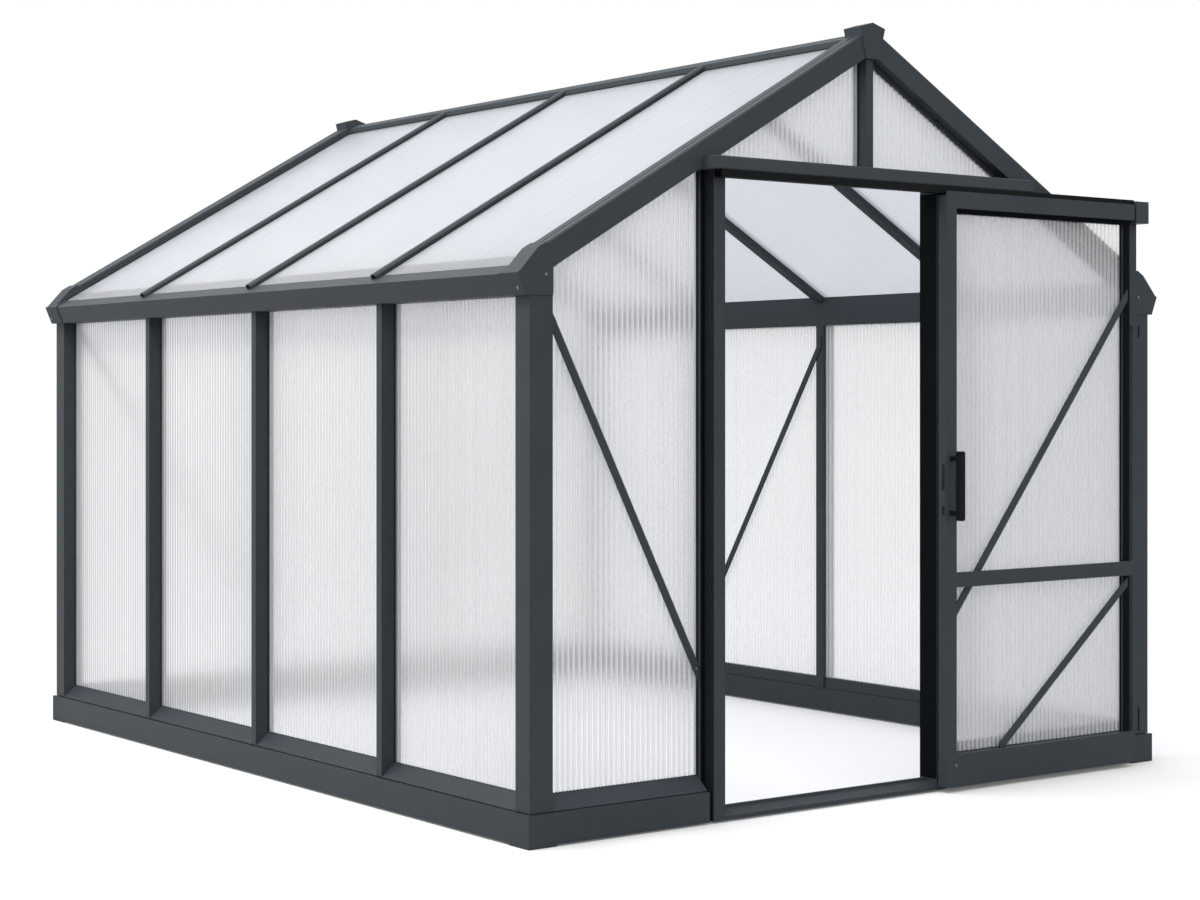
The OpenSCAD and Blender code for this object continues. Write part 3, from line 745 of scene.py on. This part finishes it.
@dataclass
class GlazingGaskets:
    """Wedge gaskets pushed in beside the posts, studs, jambs and roof bars, on the sheets' outer faces."""

    house: House
    finishes: Finishes
    width: float = 4.5 * MM
    proud: float = 3.0 * MM

    def build(self) -> None:
        """Makes the gaskets of the walls and of the roof."""
        self._walls()
        self._gables()
        self._roof()

    def _wedge(self, shape: Fitting, start: Vector, end: Vector, away: Vector, out: Vector) -> None:
        """Adds one gasket: a rounded wedge against a flank.

        Args:
            shape: the fitting that it joins.
            start: its start, in the corner between sheet and flank.
            end: its end.
            away: unit vector away from the flank.
            out: unit vector out of the sheet.
        """
        w, h = self.width, self.proud
        shape.bar([(0, 0), (w, 0), (w * 0.95, h * 0.35), (w * 0.7, h * 0.75), (w * 0.3, h), (0, h)],
                  start, end, away, out)

    def _walls(self) -> None:
        """Makes the gaskets of the side walls."""
        house, shape = self.house, Fitting()
        for side in (-1, 1):
            x = side * (house.half_w - house.sheet_set)
            for y, way in house.bay_flanks(house.corner_d):
                self._wedge(shape, Vector((x, y, house.sill_z)), Vector((x, y, house.eave_z)),
                            Vector((0, way, 0)), Vector((side, 0, 0)))
        shape.make("side_wall_gaskets", Body.HOUSE, Slot.BLACK, self.finishes.rubber)

    def _gables(self) -> None:
        """Makes the gaskets of the two gables."""
        house, shape = self.house, Fitting()
        corner, half_post = house.corner_x, house.post_w / 2
        left_jamb, right_jamb = house.jamb_flanks
        front = [(-corner, 1), (left_jamb, -1), (right_jamb, 1), (corner, -1)]
        back = [(-corner, 1), (corner, -1)]
        for x in (-house.stud_x, house.stud_x):
            back += [(x - half_post, -1), (x + half_post, 1)]
        foot, top = house.head_z + house.head_h, house.z_at(house.half_w - half_post, house.lip_n)
        for y, out, flanks in ((house.y_front + house.sheet_set, -1, front),
                               (house.y_back - house.sheet_set, 1, back)):
            for x, way in flanks:
                self._wedge(shape, Vector((x, y, house.sill_z)), Vector((x, y, house.gable_top(x))),
                            Vector((way, 0, 0)), Vector((0, out, 0)))
            for way in (-1, 1):
                self._wedge(shape, Vector((way * half_post, y, foot)), Vector((way * half_post, y, top)),
                            Vector((way, 0, 0)), Vector((0, out, 0)))
        shape.make("gable_gaskets", Body.HOUSE, Slot.BLACK, self.finishes.rubber)

    def _roof(self) -> None:
        """Makes the gaskets beside the roof bars and rafters, and along the ridge."""
        house, shape = self.house, Fitting()
        ridge_s = house.s_at(house.half_w - house.ridge_half, 0)
        for side in (-1, 1):
            out = (house.slope(side, 0, 0, 1) - house.slope(side, 0, 0, 0)).normalized()
            down = (house.slope(side, 0, 0, 0) - house.slope(side, 0, 1, 0)).normalized()
            for y, way in house.bay_flanks(house.rafter_w):
                self._wedge(shape, house.slope(side, y, house.eave_top, 0), house.slope(side, y, ridge_s, 0),
                            Vector((0, way, 0)), out)
            self._wedge(shape, house.slope(side, house.y_front + house.rafter_w, ridge_s, 0),
                        house.slope(side, house.y_back - house.rafter_w, ridge_s, 0), down, out)
        shape.make("roof_gaskets", Body.HOUSE, Slot.BLACK, self.finishes.rubber)


@dataclass
class FluteEnds:
    """Moulded closing strips along the feet of the sheets: a low rail with a bump over the end of each flute.

    Real bumps stand about 6 mm apart, which is too fine to show, so they are drawn 12 mm apart.
    """

    house: House
    finishes: Finishes
    pitch: float = 12 * MM
    rail_h: float = 1.5 * MM
    bump_h: float = 2.0 * MM
    bump_share: float = 0.36
    bump_steps: int = 6
    proud: float = 1.6 * MM
    sink: float = 1 * MM

    def build(self) -> None:
        """Makes the strips of the house and of the leaf."""
        self._house()
        self._leaf()

    def _strip(self, shape: Fitting, start: Vector, end: Vector, out: Vector) -> None:
        """Adds one strip.

        Args:
            shape: the fitting that it joins.
            start: its lower start, on the sheet's outer face.
            end: its lower end.
            out: unit vector out of the sheet.
        """
        run = end - start
        along = run.normalized()
        up = Vector((0, 0, 1))
        low, reach = self.rail_h, out * self.proud
        shape.bar([(0, 0), (run.length, 0), (run.length, low), (0, low)], start, start + reach, along, up)
        count = max(1, round(run.length / self.pitch))
        step = run.length / count
        radius, turns = step * self.bump_share, range(self.bump_steps + 1)
        bump = [(radius * math.cos(math.pi * k / self.bump_steps),
                 low + self.bump_h * math.sin(math.pi * k / self.bump_steps)) for k in turns]
        for i in range(count):
            foot = start + along * (step * (i + 0.5))
            shape.bar(bump, foot, foot + reach, along, up)

    def _house(self) -> None:
        """Makes the strips over the sills."""
        shape, sink = Fitting(), Vector((0, 0, -self.sink))
        for start, end, out in self.house.sheet_feet():
            self._strip(shape, start + sink, end + sink, out)
        shape.make("flute_ends_house", Body.HOUSE, Slot.FRAME, self.finishes.charcoal_nylon)

    def _leaf(self) -> None:
        """Makes the strip over the leaf's bottom rail."""
        low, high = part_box("leaf_sheet")
        shape = Fitting()
        self._strip(shape, Vector((low[0], low[1], low[2])), Vector((high[0], low[1], low[2])),
                    Vector((0, -1, 0)))
        shape.make("flute_ends_leaf", Body.DOOR, Slot.FRAME, self.finishes.charcoal_nylon)


@dataclass
class InnerBeads:
    """Inner glazing beads: strips with a rounded nose that hold the foot of each fixed wall sheet."""

    house: House
    finishes: Finishes
    thick: float = 5 * MM
    drop: float = 39 * MM

    def build(self) -> None:
        """Makes the beads of all the walls."""
        shape, up = Fitting(), Vector((0, 0, 1))
        t = self.thick
        nose = [(t, -t * 0.8), (t * 0.7, -t * 0.2), (t * 0.3, 0)]
        outline = [(0, -self.drop), (t, -self.drop), *nose, (0, 0)]
        for start, end, out in self.house.sheet_feet():
            behind = out * -self.house.sheet_t
            shape.bar(outline, start + behind, end + behind, -out, up)
        shape.make("inner_beads", Body.HOUSE, Slot.FRAME, self.finishes.coat)


@dataclass
class DoorwaySealsAndPaintedShade:
    """Linings of the jambs: brush along the doorway, and dark strips in the recess beside each front bar,
    brush at its bottom and rubber on its side, which are painted shade: the recess is dark only from shade."""

    house: House
    finishes: Finishes
    thick: float = 1.2 * MM
    rib: float = 1.2 * MM
    rib_pitch: float = 8 * MM
    brush_set: float = 1 * MM
    rubber_set: float = 2 * MM
    recess_foot: float = 6 * MM
    jamb_out: float = 10 * MM
    body_y: float = 30 * MM
    rail_d: float = 60 * MM
    foot_z: float = 38.5 * MM
    track_h: float = 22 * MM

    def build(self) -> None:
        """Makes the linings of both jambs."""
        house, brush, rubber = self.house, Fitting(), Fitting()
        top = house.head_z - self.track_h
        for edge, way in ((house.door_x[0], 1), (house.door_x[1], -1)):
            recess = edge - way * house.jamb_w
            self._lining(brush, edge, way, self.brush_set - self.jamb_out, self.rail_d - self.brush_set,
                         self.foot_z, top)
            # Rubber on the recess's side: painted shade, a dark lining where the recess is dark only from
            # shade.
            self._lining(rubber, recess, -way, self.rubber_set - self.jamb_out, self.body_y,
                         self.recess_foot, house.head_z)
            # Brush at the recess's bottom: painted shade as well.
            self._floor_of_recess(brush, recess, -way)
        brush.make("doorway_seals_and_painted_shade", Body.HOUSE, Slot.BLACK, self.finishes.brush)
        rubber.make("recess_painted_shade", Body.HOUSE, Slot.BLACK, self.finishes.rubber)

    def _lining(self, shape: Fitting, x: float, way: int, y0: float, y1: float, z0: float, z1: float) -> None:
        """Adds a ribbed lining on a face square to X.

        Args:
            shape: the fitting that it joins.
            x: the face.
            way: 1 if it faces right, -1 if it faces left.
            y0: front edge, behind the wall's outer face.
            y1: back edge.
            z0: foot.
            z1: top.
        """
        count = max(2, round((y1 - y0) / self.rib_pitch))
        step = (y1 - y0) / count
        outline = [(y0, 0.0)]
        for i in range(count):
            low = y0 + step * i
            outline += [(low, self.thick), (low + step * 0.3, self.thick),
                        (low + step * 0.5, self.thick + self.rib), (low + step * 0.7, self.thick)]
        outline += [(y1, self.thick), (y1, 0.0)]
        shape.bar(outline, Vector((x, self.house.y_front, z0)), Vector((x, self.house.y_front, z1)),
                  Vector((0, 1, 0)), Vector((way, 0, 0)))

    def _floor_of_recess(self, shape: Fitting, x: float, way: int) -> None:
        """Adds the dark strip at the bottom of a recess, seen from the front: painted shade, since the recess
        is dark only from shade.

        Args:
            shape: the fitting that it joins.
            x: the flank of the front bar.
            way: 1 if the recess lies to the right of it, -1 if it lies to the left.
        """
        width = self.house.body_w - self.house.jamb_w
        y = self.house.y_front + self.body_y
        shape.bar([(0, 0), (width, 0), (width * 0.8, self.thick), (width * 0.2, self.thick)],
                  Vector((x, y, self.recess_foot)), Vector((x, y, self.house.head_z)), Vector((way, 0, 0)),
                  Vector((0, -1, 0)))


@dataclass
class LeafFittings:
    """Small parts of the sliding leaf: gaskets beside its sheet and dark strips that are painted shade, and the
    latch plate with its two openings, which are painted shade too.
    """

    house: House
    finishes: Finishes
    stile_w: float = 40 * MM
    back_stile_w: float = 34 * MM
    setback: float = 20 * MM
    bead_h: float = 15 * MM
    seal_h: float = 1.5 * MM
    seal_set: float = 1 * MM
    gasket: Sequence[tuple[float, float]] = ((0, 0), (4 * MM, 0), (3 * MM, 2 * MM), (0, 3 * MM))
    plate_y: tuple[float, float] = (5 * MM, 30 * MM)
    plate_z: tuple[float, float] = (0.810, 1.002)
    plate_cut: tuple[float, float] = (3 * MM, 5 * MM)
    plate_t: float = 2 * MM
    plate_round: float = 0.6 * MM
    openings: Sequence[tuple[float, float]] = ((0.902, 0.972), (0.828, 0.848))
    opening_y: float = 14 * MM
    opening_r: float = 5 * MM
    opening_out: tuple[float, float] = (1 * MM, 2.4 * MM)

    def build(self) -> None:
        """Makes the seals and the latch."""
        self._seals()
        self._latch()

    def _seals(self) -> None:
        """Makes the ribbed dark strips over the right stile and under the top rail, which are painted shade on
        the recessed stile and on the shaded bead, and the sheet's gaskets.
        """
        low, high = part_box("leaf_sheet")
        y = self.house.leaf_front + self.setback
        left, right = self.house.leaf_x[0] + self.stile_w, self.house.leaf_x[1]
        shape, front = Fitting(), Vector((0, -1, 0))
        ribs = [(0, 0), (0.2, 1.0), (0.32, 0.6), (0.5, 1.0), (0.68, 0.6), (0.8, 1.0), (1, 0)]
        # The strip over the right stile is painted shade: the recessed stile is dark only from shade.
        width = self.back_stile_w - 2 * self.seal_set
        x = right - width - self.seal_set
        shape.bar([(a * width, b * self.seal_h) for a, b in ribs], Vector((x, y, low[2])),
                  Vector((x, y, high[2])), Vector((1, 0, 0)), front)
        # The strip under the top rail is painted shade on the bead, which lies in shade.
        shape.bar([(a * self.bead_h, b * self.seal_h) for a, b in ribs], Vector((left, y, high[2])),
                  Vector((right, y, high[2])), Vector((0, 0, 1)), front)
        for x, way in ((left, 1), (high[0], -1)):
            shape.bar(self.gasket, Vector((x, low[1], low[2])), Vector((x, low[1], high[2])),
                      Vector((way, 0, 0)), front)
        shape.make("leaf_seals_and_painted_shade", Body.DOOR, Slot.BLACK, self.finishes.brush)

    def _latch(self) -> None:
        """Makes the latch plate on the flank of the left stile, with its two openings drawn as dark rubber
        patches:
        painted shade, since each opening is dark inside only from shade.
        """
        x, y = self.house.leaf_x[0], self.house.leaf_front
        back, up = Vector((0, 1, 0)), Vector((0, 0, 1))
        plate, dark = Fitting(), Fitting()
        (y0, y1), (z0, z1), (cut_y, cut_z) = self.plate_y, self.plate_z, self.plate_cut
        plate.bar([(y0, z0 + cut_z), (y0 + cut_y, z0), (y1 - cut_y, z0), (y1, z0 + cut_z),
                   (y1, z1 - cut_z), (y1 - cut_y, z1), (y0 + cut_y, z1), (y0, z1 - cut_z)],
                  Vector((x - self.plate_t, y, 0)), Vector((x, y, 0)), back, up)
        inner, outer = self.opening_out
        # Dark patches on the plate: painted shade that stands in for the openings.
        for foot, top in self.openings:
            dark.bar(self._rounded(foot, top), Vector((x - outer, y, 0)), Vector((x - inner, y, 0)), back, up)
        plate.make("latch_plate", Body.DOOR, Slot.FRAME, self.finishes.charcoal_nylon,
                   bevel=self.plate_round)
        dark.make("latch_openings_painted_shade", Body.DOOR, Slot.BLACK, self.finishes.rubber)

    def _rounded(self, foot: float, top: float) -> list[tuple[float, float]]:
        """Outlines an upright opening with a half circle at each end.

        Args:
            foot: height of the middle of the lower half circle.
            top: height of the middle of the upper one.

        Returns:
            Points as distances along Y and Z.
        """
        steps = 5
        return [(self.opening_y + self.opening_r * math.cos(math.pi * k / steps),
                 z + self.opening_r * math.sin(math.pi * k / steps))
                for z, first in ((top, 0), (foot, steps)) for k in range(first, first + steps + 1)]


@dataclass
class PanScrews:
    """Pan-head screws with a cross recess, on the eave brackets, the braces and the leaf.

    Sizes that end in _in are measured inwards from a side, _up from the eave, _down from its tip and _out
    from the face behind the part that the screw holds. The brace and shoe heights are above the ground.
    """

    house: House
    finishes: Finishes
    radius: float = 4.5 * MM
    height: float = 2.6 * MM
    pinch: float = 0.6
    bracket_out: float = 3 * MM
    bracket_in: float = 50 * MM
    bracket_up: float = 55 * MM
    lean_in: float = 17 * MM
    lean_down: float = 40 * MM
    brace_set: float = 12 * MM
    brace_in: float = 14 * MM
    jamb_in: float = 12 * MM
    brace_top: float = 1.392
    brace_foot: float = 0.426
    back_brace_top: float = 1.396
    shoe_in: float = 36 * MM
    shoe_out: float = 1.5 * MM
    shoe_z: float = 0.080

    def build(self) -> None:
        """Makes the screws of each body."""
        self._set("screws_house", Body.HOUSE, self._house_places())
        self._set("screws_leaf", Body.DOOR, self._leaf_places())

    def _set(self, name: str, body: Body, places: Sequence[tuple[Vector, Vector]]) -> None:
        """Makes one set of screws.

        Args:
            name: the piece's name.
            body: the body that carries it.
            places: the middle of each seat, and the unit vector out of it.
        """
        r, h, shape = self.radius, self.height, Fitting()
        profile = [(r, 0), (r, h * 0.35), (r * 0.9, h * 0.7), (r * 0.7, h * 0.92), (r * 0.5, h),
                   (r * 0.48, h), (r * 0.4, h * 0.4)]
        for place, out in places:
            shape.dome(profile, place, out, cross=self.pinch)
        shape.make(name, body, Slot.FRAME, self.finishes.zinc)

    def _house_places(self) -> list[tuple[Vector, Vector]]:
        """Returns the seats on the house: the eave brackets first, then the braces."""
        house, front, back = self.house, Vector((0, -1, 0)), Vector((0, 1, 0))
        y_ends = (house.y_front, house.y_back)
        bracket_z, lean = house.eave_z + self.bracket_up, house.lean
        places = []
        for side in (-1, 1):
            x = side * (house.half_w - self.bracket_in)
            places += [(Vector((x, y, bracket_z)) + out * self.bracket_out, out)
                       for y, out in zip(y_ends, (front, back))]
            face = Vector((side * math.cos(lean), 0, -math.sin(lean)))
            down = Vector((-side * math.sin(lean), 0, -math.cos(lean)))
            places += [(house.slope(side, y, 0, 0) + down * self.lean_down + face * self.bracket_out, face)
                       for y in (y_ends[0] + self.lean_in, y_ends[1] - self.lean_in)]
        front_y = house.y_front + house.sheet_set - self.brace_set
        back_y = house.y_back - house.sheet_set + self.brace_set
        x = house.corner_x - self.brace_in
        places.append((Vector((-x, front_y, self.brace_top)), front))
        places.append((Vector((house.jamb_flanks[0] - self.jamb_in, front_y, self.brace_foot)), front))
        places += [(Vector((side * x, back_y, self.back_brace_top)), back) for side in (-1, 1)]
        return places

    def _leaf_places(self) -> list[tuple[Vector, Vector]]:
        """Returns the seat on the shoe at the leaf's lower left corner."""
        x, y = self.house.leaf_x[0] + self.shoe_in, self.house.leaf_front - self.shoe_out
        return [(Vector((x, y, self.shoe_z)), Vector((0, -1, 0)))]


def main() -> None:
    """Builds the studio, the finishes and the fittings."""
    logging.basicConfig(level=logging.INFO, format="%(name)s: %(message)s")
    bpy.context.scene.view_settings.view_transform = "Standard"
    Studio().build()
    finishes = Finishes()
    finishes.dress()
    house = House.from_model()
    for assembly in (GlazingGaskets, FluteEnds, InnerBeads, DoorwaySealsAndPaintedShade, LeafFittings, PanScrews):
        assembly(house, finishes).build()


if __name__ == "__main__":
    main()
